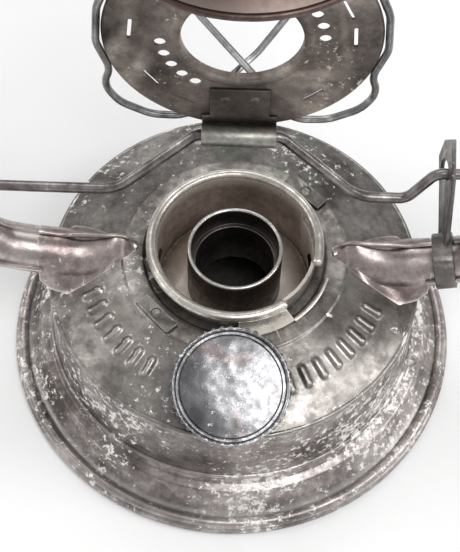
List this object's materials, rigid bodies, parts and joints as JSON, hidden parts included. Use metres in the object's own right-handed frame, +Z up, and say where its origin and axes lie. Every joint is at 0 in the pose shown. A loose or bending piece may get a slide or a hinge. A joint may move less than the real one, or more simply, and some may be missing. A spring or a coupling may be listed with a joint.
{
  "type": "storm lantern",
  "caption": "Small side-tube wick lantern in aged tin-plated steel, opened for filling: globe cage tilted back on its lifter wire, burner and globe taken out.",
  "frame": {"origin": "centre of the foot ring, on the table", "axes": "+Z up, +X towards the tube with the lifting lever, -Y towards the filler cap"},
  "size_m": [0.1703, 0.1642, 0.3033],
  "materials": {
    "tank": "worn satin",
    "fittings": "satin",
    "burner_parts": "satin, heat tinted",
    "cap": "satin, cleaner than the tank",
    "gasket": "matte",
    "tubes": "worn satin",
    "wire": "dull",
    "plate": "sooty matte",
    "hood": "dull, reddish brown",
    "spring": "dull"
  },
  "bodies": {
    "frame": {"fount_shell": "tank", "fount_bottom": "tank", "fount_dome": "tank", "burner_cup": "burner_parts", "burner_neck": "burner_parts", "ledge_clips": "fittings", "filler_neck": "tank", "saddle_left": "tubes", "saddle_right": "tubes", "tube_left": "tubes", "tube_right": "tubes", "lift_quadrant": "fittings", "wire_bearing": "fittings", "drum_pan": "hood", "drum_lid": "hood", "bail_ears": "fittings"},
    "lifter": {"lifter_wire": "wire"},
    "barrel": {"hinge_barrel": "fittings"},
    "cage": {"hinge_leaf": "plate", "globe_plate": "plate", "leaf_rivets": "plate", "guard_wire_left": "wire", "guard_wire_right": "wire", "guard_ring": "wire"},
    "chimney": {"chimney_tube": "hood", "globe_hood": "hood", "spring_collar": "hood", "vent_band": "hood", "hood_roof": "hood", "chimney_spring": "spring"},
    "bail": {"bail": "wire"},
    "cap_lift": {"filler_gasket": "gasket"},
    "cap": {"filler_cap": "cap"}
  },
  "joints": [
    {"name": "lifter_turn", "type": "hinge", "parent": "frame", "child": "lifter", "pos_m": [0, 0.014, 0.0535], "axis": [1, 0, 0], "range_deg": [-68, 0]},
    {"name": "barrel_turn", "type": "hinge", "parent": "lifter", "child": "barrel", "pos_m": [0, 0.01861, 0.07347], "axis": [1, 0, 0], "range_deg": [0, 68]},
    {"name": "cage_tilt", "type": "hinge", "parent": "barrel", "child": "cage", "pos_m": [0, 0.01861, 0.07347], "axis": [1, 0, 0], "range_deg": [0, 90]},
    {"name": "chimney_lift", "type": "slide", "parent": "frame", "child": "chimney", "axis": [0, 0, 1], "range_m": [0, 0.01], "stiffness_N_per_m": 150, "springref_m": -0.008, "deforming": ["chimney_spring"]},
    {"name": "bail_swing", "type": "hinge", "parent": "frame", "child": "bail", "pos_m": [0, 0, 0.2155], "axis": [1, 0, 0], "range_deg": [-110, 130]},
    {"name": "filler_lift", "type": "slide", "parent": "frame", "child": "cap_lift", "axis": [0, -0.4067, 0.9135], "range_m": [0, 0.0045]},
    {"name": "filler_turn", "type": "hinge", "parent": "cap_lift", "child": "cap", "pos_m": [0, -0.044, 0.052], "axis": [0, -0.4067, 0.9135], "range_deg": [0, 540]}
  ],
  "couplings": [
    {"joint": "barrel_turn", "follows": "lifter_turn", "ratio": -1},
    {"joint": "filler_lift", "follows": "filler_turn", "m_per_rad": 0.00047746}
  ]
}
